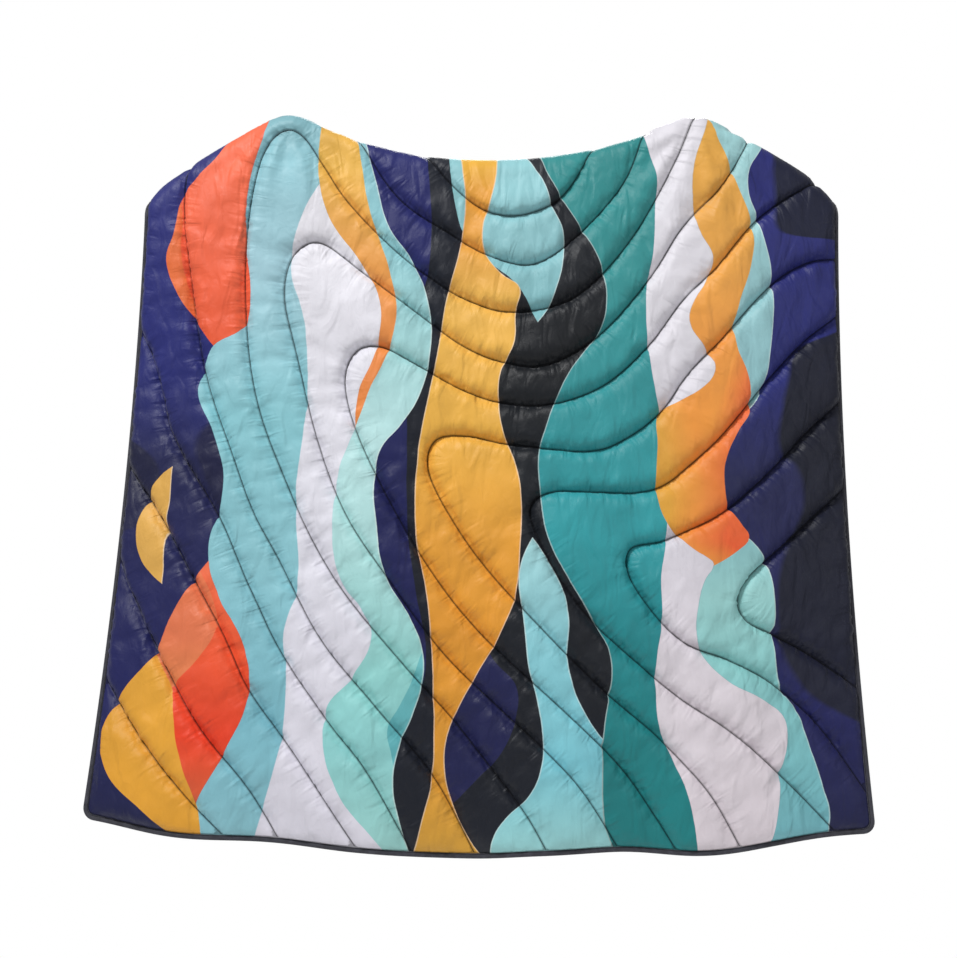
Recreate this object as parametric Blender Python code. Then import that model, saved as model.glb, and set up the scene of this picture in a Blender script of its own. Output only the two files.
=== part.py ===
"""Puffy quilted camp blanket, hung over two grips with its top edge folded back behind.

Metres, X to the viewer's right, -Y the way the printed face looks, +Z up. The origin is the
middle of the straight line between the two grips. Every layer is sewn to the next along the
quilting lines and the hem, so nothing moves as a rigid piece and the blanket is one body.
"""

import math

import bmesh
import bpy
import numpy as np

for old in list(bpy.data.objects):
    bpy.data.objects.remove(old, do_unlink=True)

# ---- driving dimensions, metres ----
BLANKET_WIDTH = 2.03  # flat, across
BLANKET_LENGTH = 2.13  # flat, bottom hem to top hem
CORNER_R = 0.028  # rounded corners
LOFT = 0.016  # batting, mean thickness between the two fabrics
HEM_LOFT = 0.0018  # batting pressed flat inside the binding
TAPER = 0.050  # width over which the batting thins towards the hem
FABRIC = 0.0008  # each shell fabric
PLY_GAP = 0.0003  # clearance between neighbouring layers
BIND_WIDTH = 0.011  # visible width of the edge tape
BIND_THICK = 0.0008
BIND_GAP = 0.0012
BIND_STITCH_IN = 0.0088  # stitch row, measured in from the hem
HEM_FLAT = BIND_WIDTH + 0.002  # the layers are pressed flat this far in from the hem
STITCH_STOP = BIND_WIDTH + 0.003  # the quilting ends clear of the tape
COLUMN_PITCH = 0.145  # spacing of the surface's columns of points
THREAD_R = 0.0005

GRIP_HALF = 0.572  # flat distance from the middle to each grip
FOLD_R = 0.036  # radius of the fold over a hand, to the middle of the batting
FOLD_SAG = 0.115  # how far the fold hangs down between the grips
SIDE_DROP = 0.46  # fall of the fold per metre outside the grips
HEM_FORWARD = 0.29  # the bottom hem hangs this far in front of the grips
SIDE_BACK = 0.07  # the side hems lie back by this at mid height
FLAP_IN_DEG = 40.0  # the turned-back corners swing inwards
HEM_AT = (-1.0, -0.79, -0.54, -0.30, 0.0, 0.15, 0.34, 0.54, 0.74, 0.89, 1.0)  # half widths
HEM_Z = (-1.808, -1.840, -1.858, -1.876, -1.896, -1.884, -1.880, -1.890, -1.868, -1.852, -1.842)

DRAWN_WIDTH, DRAWN_LENGTH = 2.03, 2.13  # the quilting and hem are drawn for this size
HALF = BLANKET_WIDTH / 2
FACE, BACK = -1.0, 1.0

# ---- quilting lines on the flat blanket: (across, up from the bottom hem) ----
# Seven nested chevrons open towards the right, two swags hang from the top edge and five
# lines run down to the bottom hem on the left.
QUILTING = {
    "chevron_1": [(0.17, 0.014), (0.10, 0.13), (-0.06, 0.33), (-0.20, 0.47), (-0.38, 0.66),
                  (-0.50, 0.84), (-0.58, 1.03), (-0.635, 1.24), (-0.66, 1.46), (-0.655, 1.66),
                  (-0.62, 1.82), (-0.565, 1.89), (-0.49, 1.80), (-0.42, 1.71), (-0.31, 1.61),
                  (-0.20, 1.53), (-0.07, 1.46), (0.08, 1.42), (0.24, 1.45), (0.39, 1.59),
                  (0.52, 1.81), (0.57, 1.96), (0.62, 2.116)],
    "chevron_2": [(0.35, 0.014), (0.24, 0.18), (0.05, 0.37), (-0.11, 0.52), (-0.26, 0.70),
                  (-0.38, 0.86), (-0.47, 1.06), (-0.54, 1.30), (-0.565, 1.44), (-0.545, 1.55),
                  (-0.48, 1.58), (-0.36, 1.51), (-0.20, 1.41), (-0.07, 1.33), (0.06, 1.28),
                  (0.17, 1.27), (0.32, 1.35), (0.46, 1.51), (0.57, 1.69), (0.67, 1.82),
                  (0.76, 1.95), (0.85, 2.116)],
    "chevron_3": [(0.50, 0.014), (0.45, 0.09), (0.36, 0.21), (0.22, 0.35), (0.04, 0.52),
                  (-0.10, 0.67), (-0.23, 0.85), (-0.35, 1.06), (-0.395, 1.20), (-0.37, 1.29),
                  (-0.30, 1.31), (-0.20, 1.27), (-0.07, 1.21), (0.06, 1.17), (0.18, 1.16),
                  (0.33, 1.21), (0.46, 1.33), (0.59, 1.51), (0.73, 1.65), (0.90, 1.73),
                  (1.001, 1.76)],
    "chevron_4": [(0.66, 0.014), (0.58, 0.16), (0.47, 0.28), (0.31, 0.41), (0.09, 0.64),
                  (-0.06, 0.82), (-0.155, 0.98), (-0.14, 1.07), (-0.05, 1.085), (0.06, 1.06),
                  (0.17, 1.04), (0.29, 1.03), (0.38, 1.06), (0.49, 1.15), (0.60, 1.31),
                  (0.77, 1.46), (0.90, 1.52), (1.001, 1.53)],
    "chevron_5": [(0.91, 0.014), (0.79, 0.15), (0.64, 0.30), (0.44, 0.45), (0.30, 0.57),
                  (0.20, 0.70), (0.13, 0.84), (0.13, 0.90), (0.19, 0.925), (0.29, 0.92),
                  (0.41, 0.92), (0.51, 0.96), (0.63, 1.08), (0.77, 1.21), (0.90, 1.31),
                  (1.001, 1.37)],
    "chevron_6": [(1.001, 0.10), (0.89, 0.27), (0.76, 0.40), (0.64, 0.48), (0.54, 0.53),
                  (0.46, 0.60), (0.39, 0.70), (0.395, 0.77), (0.49, 0.80), (0.63, 0.87),
                  (0.77, 0.96), (0.90, 1.06), (1.001, 1.13)],
    "chevron_7": [(1.001, 0.36), (0.87, 0.46), (0.76, 0.53), (0.69, 0.575), (0.665, 0.63),
                  (0.70, 0.69), (0.84, 0.78), (1.001, 0.89)],
    "swag_1": [(-0.52, 2.116), (-0.44, 1.98), (-0.36, 1.84), (-0.26, 1.72), (-0.12, 1.64),
               (0.0, 1.58), (0.13, 1.55), (0.26, 1.63), (0.38, 1.76), (0.44, 1.90), (0.50, 2.116)],
    "swag_2": [(-0.36, 2.116), (-0.28, 1.98), (-0.20, 1.87), (-0.12, 1.78), (-0.02, 1.71),
               (0.09, 1.69), (0.20, 1.73), (0.28, 1.84), (0.33, 1.97), (0.37, 2.116)],
    "left_1": [(-0.78, 2.116), (-0.84, 1.90), (-0.88, 1.68), (-0.83, 1.42), (-0.77, 1.20),
               (-0.68, 1.00), (-0.58, 0.78), (-0.44, 0.54), (-0.28, 0.37), (-0.12, 0.20),
               (-0.01, 0.014)],
    "left_2": [(-1.001, 1.30), (-0.95, 1.23), (-0.91, 1.14), (-0.86, 1.02), (-0.71, 0.83),
               (-0.61, 0.64), (-0.53, 0.48), (-0.40, 0.32), (-0.29, 0.20), (-0.17, 0.014)],
    "left_3": [(-1.001, 0.92), (-0.93, 0.85), (-0.84, 0.75), (-0.69, 0.54), (-0.59, 0.36),
               (-0.46, 0.20), (-0.31, 0.014)],
    "left_4": [(-1.001, 0.67), (-0.96, 0.60), (-0.84, 0.43), (-0.72, 0.27), (-0.60, 0.14),
               (-0.51, 0.014)],
    "left_5": [(-1.001, 0.35), (-0.89, 0.23), (-0.78, 0.13), (-0.65, 0.014)],
}


# ---- the hang: where each point of the flat blanket lies in space ----
def smooth_curve(at, stations, values):
    stations, values = np.array(stations), np.array(values)
    slope = np.gradient(values, stations)
    i = np.clip(np.searchsorted(stations, at) - 1, 0, len(stations) - 2)
    h = stations[i + 1] - stations[i]
    p = (at - stations[i]) / h
    return ((1 + 2 * p) * (1 - p) ** 2 * values[i] + p * (1 - p) ** 2 * h * slope[i]
            + p * p * (3 - 2 * p) * values[i + 1] + p * p * (p - 1) * h * slope[i + 1])


def fold_axis(s):
    """The middle of the fold's roll, rising to each grip and falling outside it."""
    a = np.abs(s)
    past = (a - GRIP_HALF + np.sqrt((a - GRIP_HALF) ** 2 + 0.05**2)) / 2
    x = 0.974 * s - 0.17 * np.sign(s) * past
    inner = -FOLD_SAG + (FOLD_SAG + 0.02) * (s / GRIP_HALF) ** 2
    outer = 0.02 - SIDE_DROP * (a - GRIP_HALF)
    z = (inner + outer - np.sqrt((inner - outer) ** 2 + 0.02**2)) / 2
    z = z - 0.02 * np.clip((a / HALF - 0.867) / 0.133, 0, 1) ** 2
    return x, 0.03 * (a / HALF) ** 3, z


def hang(s):
    """For a column of the blanket: the roll's axis, tilt, half length, front top and hem."""
    ax, ay, az = fold_axis(s)
    bx, _, bz = fold_axis(s + 0.04)
    cx, _, cz = fold_axis(s - 0.04)
    tilt = np.arctan2(bz - cz, bx - cx)
    half = math.pi * FOLD_R / 2 / np.cos(tilt)
    top = (ax - np.cos(tilt) * half * np.sin(tilt), ay - FOLD_R,
           az - np.sin(tilt) ** 2 * half)
    hem = (s - 0.037,
           -HEM_FORWARD + 0.05 * (s / HALF) ** 2
           + 0.014 * np.cos(2 * math.pi * (s + 0.05) / 0.47),
           smooth_curve(s / HALF, HEM_AT, HEM_Z) + DRAWN_LENGTH - BLANKET_LENGTH)
    front = 1.006 * np.sqrt(sum((p - q) ** 2 for p, q in zip(top, hem)))
    return (ax, ay, az), tilt, half, top, hem, front


def drape(s, t):
    """Flat position (across, up from the bottom hem) to the middle of the batting."""
    s, t = np.broadcast_arrays(np.asarray(s, float), np.asarray(t, float))
    (ax, ay, az), tilt, half, top, hem, front = hang(s)
    f = np.clip(1 - t / front, 0, 1)
    lie_back = SIDE_BACK * np.abs(s / HALF) ** 3 * 4 * f * (1 - f)
    x = top[0] + (hem[0] - top[0]) * f
    y = top[1] + (hem[1] - top[1]) * f**1.15 + lie_back
    z = top[2] + (hem[2] - top[2]) * f
    w = t - front - half
    turn = np.clip(w * np.cos(tilt) / FOLD_R, -math.pi / 2, math.pi / 2)
    along = np.clip(w, -half, half) * np.sin(tilt)
    up = FOLD_R * np.cos(turn)
    rolled = w > -half
    x = np.where(rolled, ax + np.cos(tilt) * along - np.sin(tilt) * up, x)
    y = np.where(rolled, ay + FOLD_R * np.sin(turn), y)
    z = np.where(rolled, az + np.sin(tilt) * along + np.cos(tilt) * up, z)
    flap = np.clip(w - half, 0, None)
    out = np.clip((np.abs(s) - GRIP_HALF) / (HALF - GRIP_HALF), 0, 1) ** 0.7
    swing = -np.sign(s) * math.radians(FLAP_IN_DEG) * out
    return np.stack([x + flap * np.sin(swing), y + flap * 0.06, z - flap * np.cos(swing)], -1)


def back_normal(s, t, d=5e-4):
    """Unit vector out of the back of the blanket, +Y on its front part."""
    across = drape(s + d, t) - drape(s - d, t)
    up = drape(s, t + d) - drape(s, t - d)
    n = np.cross(up, across)
    return n / np.linalg.norm(n, axis=-1, keepdims=True)


def loft_half(s, t):
    """Half the batting's thickness, thinning towards the hem."""
    edge = np.minimum(np.minimum(HALF - np.abs(s), t), BLANKET_LENGTH - t)
    p = np.clip((edge - HEM_FLAT) / TAPER, 0, 1)
    return (HEM_LOFT + (LOFT - HEM_LOFT) * p * p * (3 - 2 * p)) / 2


# ---- the shared grid over the flat blanket ----
HEM_LINES = [0.0, HEM_FLAT, CORNER_R]
FREE_WIDTH = BLANKET_WIDTH - 0.15
COLUMNS = np.array([-HALF + e for e in HEM_LINES]
                   + list(np.linspace(-FREE_WIDTH / 2, FREE_WIDTH / 2,
                                      round(FREE_WIDTH / COLUMN_PITCH) + 1))
                   + [HALF - e for e in reversed(HEM_LINES)])


def rows_at(s):
    """Heights of the grid rows in one column: front, roll, turned-back flap."""
    *_, half, _, _, front = hang(np.array(s))
    rows = list(HEM_LINES)
    rows += list(np.linspace(0.075, front - 0.05, 10))
    rows += [front + half * (1 + k / 4) for k in range(-4, 5)]
    rows += list(np.linspace(front + 2 * half, BLANKET_LENGTH - CORNER_R, 4)[1:-1])
    return rows + [BLANKET_LENGTH - e for e in reversed(HEM_LINES)]


ROWS = np.array([rows_at(s) for s in COLUMNS])
N_COL, N_ROW = ROWS.shape


def round_corner(s, t):
    """Moves the rings of points inside a corner square onto arcs about one centre."""
    cs = math.copysign(HALF - CORNER_R, s)
    ct = CORNER_R if t < BLANKET_LENGTH / 2 else BLANKET_LENGTH - CORNER_R
    p, q = s - cs, t - ct
    if p * cs <= 0 or q * (1 if ct > 1 else -1) <= 0:
        return s, t
    k = max(abs(p), abs(q)) / math.hypot(p, q)
    return cs + p * k, ct + q * k


FLAT = np.array([[round_corner(COLUMNS[i], ROWS[i, j]) for j in range(N_ROW)]
                 for i in range(N_COL)])
MIDDLE = drape(FLAT[..., 0], FLAT[..., 1])
NORMAL = back_normal(FLAT[..., 0], FLAT[..., 1])
LOFT_HALF = loft_half(COLUMNS[:, None], ROWS)

blanket = bpy.data.collections.new("camp_blanket")
bpy.context.scene.collection.children.link(blanket)


def material(name, colour, rough, sheen=0.0):
    m = bpy.data.materials.new(name)
    m.use_nodes = True
    p = m.node_tree.nodes["Principled BSDF"]
    p.inputs["Base Color"].default_value = (*colour, 1)
    p.inputs["Roughness"].default_value = rough
    p.inputs["Sheen Weight"].default_value = sheen
    return m


def put(obj, mat):
    obj.data.materials.append(mat)
    blanket.objects.link(obj)
    return obj


def surface(side, extra):
    """Grid points of one surface: batting half thickness plus extra, on one side."""
    return MIDDLE + NORMAL * (side * (LOFT_HALF + extra))[..., None]


def layer(name, near, far, mat):
    """One fabric or batting layer between two surfaces of the grid, closed at the hem."""
    bm = bmesh.new()
    bmesh.ops.create_grid(bm, x_segments=N_COL - 1, y_segments=N_ROW - 1, size=1)
    bm.verts.ensure_lookup_table()
    place = {v: (round((v.co.x + 1) / 2 * (N_COL - 1)), round((v.co.y + 1) / 2 * (N_ROW - 1)))
             for v in bm.verts}
    bmesh.ops.triangulate(bm, faces=bm.faces[:], quad_method="FIXED")
    rim = [e for e in bm.edges if e.is_boundary]
    twin = {v: bm.verts.new(v.co) for v in list(place)}
    for face in list(bm.faces):
        bm.faces.new([twin[v] for v in reversed(face.verts)])
    for edge in rim:
        a, b = edge.verts
        bm.faces.new((a, b, twin[b], twin[a]))
    for v, (i, j) in place.items():
        v.co = near[i, j]
        twin[v].co = far[i, j]
    bmesh.ops.triangulate(bm, faces=[f for f in bm.faces if len(f.verts) == 4])
    bmesh.ops.recalc_face_normals(bm, faces=bm.faces[:])
    mesh = bpy.data.meshes.new(name)
    bm.to_mesh(mesh)
    bm.free()
    return put(bpy.data.objects.new(name, mesh), mat)


# ---- batting and the two shell fabrics ----
PRINT = material("printed_shell", (0.18, 0.42, 0.50), 0.45, 0.3)
LINING = material("plain_lining", (0.03, 0.04, 0.10), 0.5, 0.3)
FILL = material("polyester_fill", (0.85, 0.85, 0.83), 0.9)
TAPE = material("binding_tape", (0.045, 0.045, 0.06), 0.7)
THREAD = material("dark_thread", (0.02, 0.02, 0.03), 0.6)
SHELL_OUT = PLY_GAP + FABRIC

layer("batting", surface(FACE, 0), surface(BACK, 0), FILL)
layer("face_shell", surface(FACE, SHELL_OUT), surface(FACE, PLY_GAP), PRINT)
layer("back_shell", surface(BACK, PLY_GAP), surface(BACK, SHELL_OUT), LINING)


# ---- edge binding and its stitch rows, swept once round the hem ----
def hem_stations():
    """Round the hem: point, unit vector out over the hem, unit vector out of the back."""
    ring = [(i, 0) for i in range(N_COL - 1)] + [(N_COL - 1, j) for j in range(N_ROW - 1)]
    ring += [(i, N_ROW - 1) for i in range(N_COL - 1, 0, -1)]
    ring += [(0, j) for j in range(N_ROW - 1, 0, -1)]
    stations = []
    for i, j in ring:
        s, t = FLAT[i, j]
        cs = min(max(s, -HALF + CORNER_R), HALF - CORNER_R)
        ct = min(max(t, CORNER_R), BLANKET_LENGTH - CORNER_R)
        away = math.hypot(s - cs, t - ct)
        inner = drape(s - (s - cs) / away * HEM_FLAT, t - (t - ct) / away * HEM_FLAT)
        out = MIDDLE[i, j] - inner
        out /= np.linalg.norm(out)
        n = NORMAL[i, j] - out * (NORMAL[i, j] @ out)
        stations.append((MIDDLE[i, j], out, n / np.linalg.norm(n)))
    return stations


HEM = hem_stations()
HEM_HALF = HEM_LOFT / 2 + SHELL_OUT


def sweep_hem(name, profile, mat):
    """A closed loop with this section; profile points are (out over the hem, towards the back)."""
    bm = bmesh.new()
    rings = [[bm.verts.new(p + out * a + n * b) for a, b in profile] for p, out, n in HEM]
    for k, ring in enumerate(rings):
        after = rings[(k + 1) % len(rings)]
        for m in range(len(profile)):
            m2 = (m + 1) % len(profile)
            bm.faces.new((ring[m], ring[m2], after[m2], after[m]))
    bmesh.ops.triangulate(bm, faces=bm.faces[:])
    bmesh.ops.recalc_face_normals(bm, faces=bm.faces[:])
    mesh = bpy.data.meshes.new(name)
    bm.to_mesh(mesh)
    bm.free()
    return put(bpy.data.objects.new(name, mesh), mat)


inside, outside = HEM_HALF + BIND_GAP, HEM_HALF + BIND_GAP + BIND_THICK
sweep_hem("edge_binding",
          [(-BIND_WIDTH, -outside), (-BIND_STITCH_IN, -outside), (0.0008, -outside),
           (0.0016, -outside + 0.0008), (0.0016, outside - 0.0008), (0.0008, outside),
           (-BIND_STITCH_IN, outside), (-BIND_WIDTH, outside), (-BIND_WIDTH, inside),
           (0.0006, inside), (0.0006, -inside), (-BIND_WIDTH, -inside)],
          TAPE)
for side, name in ((FACE, "binding_stitch_face"), (BACK, "binding_stitch_back")):
    low = side * (outside + PLY_GAP)
    high = side * (outside + PLY_GAP + 2 * THREAD_R)
    mid = (low + high) / 2
    sweep_hem(name, [(-BIND_STITCH_IN - THREAD_R, mid), (-BIND_STITCH_IN, low),
                     (-BIND_STITCH_IN + THREAD_R, mid), (-BIND_STITCH_IN, high)], THREAD)


# ---- quilting threads, laid exactly on the facets of each shell ----
def spline(points, step=0.012):
    """Catmull-Rom curve through hand-set points, sampled finely."""
    p = np.array([points[0], *points, points[-1]], float)
    found = []
    for a, b, c, d in zip(p, p[1:], p[2:], p[3:]):
        n = max(2, round(np.linalg.norm(c - b) / step))
        u = np.linspace(0, 1, n, endpoint=False)[:, None]
        found.append(0.5 * (2 * b + (c - a) * u + (2 * a - 5 * b + 4 * c - d) * u**2
                            + (3 * b - a - 3 * c + d) * u**3))
    return np.concatenate([*found, p[-1:]])


def grid_edges():
    """Every edge of the triangulated grid as index pairs, with its flat ends."""
    bm = bmesh.new()
    bmesh.ops.create_grid(bm, x_segments=N_COL - 1, y_segments=N_ROW - 1, size=1)
    bmesh.ops.triangulate(bm, faces=bm.faces[:], quad_method="FIXED")
    ends = []
    for e in bm.edges:
        ends.append([(round((v.co.x + 1) / 2 * (N_COL - 1)), round((v.co.y + 1) / 2 * (N_ROW - 1)))
                     for v in e.verts])
    bm.free()
    return np.array(ends)


EDGES = grid_edges()
EDGE_A = FLAT[EDGES[:, 0, 0], EDGES[:, 0, 1]]
EDGE_B = FLAT[EDGES[:, 1, 0], EDGES[:, 1, 1]]


def crossings(line):
    """Where a flat line crosses the grid's edges, in order: (edge, share along that edge)."""
    found = []
    r = EDGE_B - EDGE_A
    for k, (p, q) in enumerate(zip(line, line[1:])):
        d = q - p
        det = r[:, 0] * -d[1] + r[:, 1] * d[0]
        det[np.abs(det) < 1e-12] = 1e-12
        g = p - EDGE_A
        share = (g[:, 0] * -d[1] + g[:, 1] * d[0]) / det
        along = (r[:, 0] * g[:, 1] - r[:, 1] * g[:, 0]) / det
        hit = np.nonzero((share >= 0) & (share <= 1) & (along >= 0) & (along < 1))[0]
        found += [(k + along[h], h, share[h]) for h in hit]
    return sorted(found)


def quilting_thread(name, points, side):
    """A round thread lying a hair above one shell, bent only where the shell bends."""
    i, j = EDGES[:, 0].T
    i2, j2 = EDGES[:, 1].T
    skin = surface(side, SHELL_OUT)
    path, lift = [], []
    for _, h, share in crossings(spline(points)):
        path.append(skin[i[h], j[h]] * (1 - share) + skin[i2[h], j2[h]] * share)
        n = NORMAL[i[h], j[h]] * (1 - share) + NORMAL[i2[h], j2[h]] * share
        lift.append(n / np.linalg.norm(n))
    kept, first = [0], 0
    while first < len(path) - 1:
        last = first + 1
        for k in range(first + 2, min(len(path), first + 15)):
            chord = path[k] - path[first]
            chord = chord / np.linalg.norm(chord)
            gone = [(p - path[first]) - chord * ((p - path[first]) @ chord)
                    for p in path[first + 1:k]]
            high = max(abs(g @ n) for g, n in zip(gone, lift[first + 1:k]))
            wide = max(np.linalg.norm(g) for g in gone)
            if high > 0.00012 or wide > 0.004:
                break
            last = k
        kept.append(last)
        first = last
    curve = bpy.data.curves.new(name, "CURVE")
    curve.dimensions = "3D"
    curve.bevel_depth = THREAD_R
    curve.bevel_resolution = 0
    curve.resolution_u = 1
    curve.use_fill_caps = True
    line = curve.splines.new("POLY")
    line.points.add(len(kept) - 1)
    for p, k in zip(line.points, kept):
        p.co = (*(path[k] + lift[k] * side * (PLY_GAP + THREAD_R)), 1)
    return put(bpy.data.objects.new(name, curve), THREAD)


SCALE = np.array([BLANKET_WIDTH / DRAWN_WIDTH, BLANKET_LENGTH / DRAWN_LENGTH])
for line_name, line_points in QUILTING.items():
    line_points = np.clip(np.array(line_points) * SCALE, (-HALF + STITCH_STOP, STITCH_STOP),
                          (HALF - STITCH_STOP, BLANKET_LENGTH - STITCH_STOP))
    quilting_thread("needle_thread_" + line_name, line_points, FACE)
    quilting_thread("bobbin_thread_" + line_name, line_points, BACK)
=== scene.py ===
import math

import bpy
import numpy as np
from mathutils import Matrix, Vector, geometry
from mathutils.kdtree import KDTree


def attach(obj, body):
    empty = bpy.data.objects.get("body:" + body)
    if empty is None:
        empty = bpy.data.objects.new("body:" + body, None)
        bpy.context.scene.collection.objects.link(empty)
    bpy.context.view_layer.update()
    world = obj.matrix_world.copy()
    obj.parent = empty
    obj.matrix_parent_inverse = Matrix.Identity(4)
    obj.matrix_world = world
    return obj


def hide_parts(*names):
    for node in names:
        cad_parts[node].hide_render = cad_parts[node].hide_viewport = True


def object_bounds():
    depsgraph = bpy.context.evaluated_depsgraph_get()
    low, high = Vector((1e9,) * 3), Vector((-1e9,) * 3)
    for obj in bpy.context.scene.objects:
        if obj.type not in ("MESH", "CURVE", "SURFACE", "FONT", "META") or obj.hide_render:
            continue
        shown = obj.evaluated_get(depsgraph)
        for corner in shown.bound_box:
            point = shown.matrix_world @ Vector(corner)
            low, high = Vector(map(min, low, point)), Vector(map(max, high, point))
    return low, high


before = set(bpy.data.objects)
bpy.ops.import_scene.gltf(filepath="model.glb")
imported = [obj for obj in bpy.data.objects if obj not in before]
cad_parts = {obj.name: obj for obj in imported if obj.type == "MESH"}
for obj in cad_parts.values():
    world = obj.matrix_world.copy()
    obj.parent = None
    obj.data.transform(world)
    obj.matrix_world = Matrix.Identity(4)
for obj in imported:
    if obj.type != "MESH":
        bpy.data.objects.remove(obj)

cad_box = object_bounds()


# ---- printed face panel: pattern piece ----
# One wide panel of printed woven polyester, cut to a rectangle with rounded corners. It is the
# blanket's whole front, and every other layer is cut to the same outline. Sizes in metres.
WIDTH, LENGTH, CORNER = 2.03, 2.13, 0.028
HALF = WIDTH / 2
TAPE_WIDTH = 0.011  # the edge tape covers this much of the panel
CLOTH_STEP = 0.0095  # spacing of the cloth's own points

# Quilting lines on the flat panel: (across from the middle, up from the bottom hem). Seven
# nested chevrons open to one side, two swags hang from the top edge, five lines run down left.
QUILTING = {
    "chevron_1": [(0.17, 0.014), (0.10, 0.13), (-0.06, 0.33), (-0.20, 0.47), (-0.38, 0.66),
                  (-0.50, 0.84), (-0.58, 1.03), (-0.635, 1.24), (-0.66, 1.46), (-0.655, 1.66),
                  (-0.62, 1.82), (-0.565, 1.89), (-0.49, 1.80), (-0.42, 1.71), (-0.31, 1.61),
                  (-0.20, 1.53), (-0.07, 1.46), (0.08, 1.42), (0.24, 1.45), (0.39, 1.59),
                  (0.52, 1.81), (0.57, 1.96), (0.62, 2.116)],
    "chevron_2": [(0.35, 0.014), (0.24, 0.18), (0.05, 0.37), (-0.11, 0.52), (-0.26, 0.70),
                  (-0.38, 0.86), (-0.47, 1.06), (-0.54, 1.30), (-0.565, 1.44), (-0.545, 1.55),
                  (-0.48, 1.58), (-0.36, 1.51), (-0.20, 1.41), (-0.07, 1.33), (0.06, 1.28),
                  (0.17, 1.27), (0.32, 1.35), (0.46, 1.51), (0.57, 1.69), (0.67, 1.82),
                  (0.76, 1.95), (0.85, 2.116)],
    "chevron_3": [(0.50, 0.014), (0.45, 0.09), (0.36, 0.21), (0.22, 0.35), (0.04, 0.52),
                  (-0.10, 0.67), (-0.23, 0.85), (-0.35, 1.06), (-0.395, 1.20), (-0.37, 1.29),
                  (-0.30, 1.31), (-0.20, 1.27), (-0.07, 1.21), (0.06, 1.17), (0.18, 1.16),
                  (0.33, 1.21), (0.46, 1.33), (0.59, 1.51), (0.73, 1.65), (0.90, 1.73),
                  (1.001, 1.76)],
    "chevron_4": [(0.66, 0.014), (0.58, 0.16), (0.47, 0.28), (0.31, 0.41), (0.09, 0.64),
                  (-0.06, 0.82), (-0.155, 0.98), (-0.14, 1.07), (-0.05, 1.085), (0.06, 1.06),
                  (0.17, 1.04), (0.29, 1.03), (0.38, 1.06), (0.49, 1.15), (0.60, 1.31),
                  (0.77, 1.46), (0.90, 1.52), (1.001, 1.53)],
    "chevron_5": [(0.91, 0.014), (0.79, 0.15), (0.64, 0.30), (0.44, 0.45), (0.30, 0.57),
                  (0.20, 0.70), (0.13, 0.84), (0.13, 0.90), (0.19, 0.925), (0.29, 0.92),
                  (0.41, 0.92), (0.51, 0.96), (0.63, 1.08), (0.77, 1.21), (0.90, 1.31),
                  (1.001, 1.37)],
    "chevron_6": [(1.001, 0.10), (0.89, 0.27), (0.76, 0.40), (0.64, 0.48), (0.54, 0.53),
                  (0.46, 0.60), (0.39, 0.70), (0.395, 0.77), (0.49, 0.80), (0.63, 0.87),
                  (0.77, 0.96), (0.90, 1.06), (1.001, 1.13)],
    "chevron_7": [(1.001, 0.36), (0.87, 0.46), (0.76, 0.53), (0.69, 0.575), (0.665, 0.63),
                  (0.70, 0.69), (0.84, 0.78), (1.001, 0.89)],
    "swag_1": [(-0.52, 2.116), (-0.44, 1.98), (-0.36, 1.84), (-0.26, 1.72), (-0.12, 1.64),
               (0.0, 1.58), (0.13, 1.55), (0.26, 1.63), (0.38, 1.76), (0.44, 1.90), (0.50, 2.116)],
    "swag_2": [(-0.36, 2.116), (-0.28, 1.98), (-0.20, 1.87), (-0.12, 1.78), (-0.02, 1.71),
               (0.09, 1.69), (0.20, 1.73), (0.28, 1.84), (0.33, 1.97), (0.37, 2.116)],
    "left_1": [(-0.78, 2.116), (-0.84, 1.90), (-0.88, 1.68), (-0.83, 1.42), (-0.77, 1.20),
               (-0.68, 1.00), (-0.58, 0.78), (-0.44, 0.54), (-0.28, 0.37), (-0.12, 0.20),
               (-0.01, 0.014)],
    "left_2": [(-1.001, 1.30), (-0.95, 1.23), (-0.91, 1.14), (-0.86, 1.02), (-0.71, 0.83),
               (-0.61, 0.64), (-0.53, 0.48), (-0.40, 0.32), (-0.29, 0.20), (-0.17, 0.014)],
    "left_3": [(-1.001, 0.92), (-0.93, 0.85), (-0.84, 0.75), (-0.69, 0.54), (-0.59, 0.36),
               (-0.46, 0.20), (-0.31, 0.014)],
    "left_4": [(-1.001, 0.67), (-0.96, 0.60), (-0.84, 0.43), (-0.72, 0.27), (-0.60, 0.14),
               (-0.51, 0.014)],
    "left_5": [(-1.001, 0.35), (-0.89, 0.23), (-0.78, 0.13), (-0.65, 0.014)],
}


def drawn_line(points, step):
    """A smooth curve through the given points, sampled about every step metres."""
    p = np.array([points[0], *points, points[-1]], float)
    found = []
    for a, b, c, d in zip(p, p[1:], p[2:], p[3:]):
        n = max(2, round(np.linalg.norm(c - b) / step))
        u = np.linspace(0, 1, n, endpoint=False)[:, None]
        found.append(0.5 * (2 * b + (c - a) * u + (2 * a - 5 * b + 4 * c - d) * u**2
                            + (3 * b - a - 3 * c + d) * u**3))
    return np.concatenate([*found, p[-1:]])


def hem_line(inset, step):
    """Once round the panel at this distance inside its cut edge, as flat points."""
    w, h, r = HALF - inset, LENGTH / 2 - inset, max(CORNER - inset, 0.004)
    corners = ((w - r, h - r, 0), (r - w, h - r, 90), (r - w, r - h, 180), (w - r, r - h, 270))
    turn = np.array([(cx + r * math.cos(math.radians(start + 15 * k)),
                      cy + r * math.sin(math.radians(start + 15 * k)) + LENGTH / 2)
                     for cx, cy, start in corners for k in range(7)])
    found = []
    for a, b in zip(turn, np.roll(turn, -1, 0)):
        n = max(1, round(np.linalg.norm(b - a) / step))
        found += [a + (b - a) * k / n for k in range(n)]
    return np.array(found)


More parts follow.
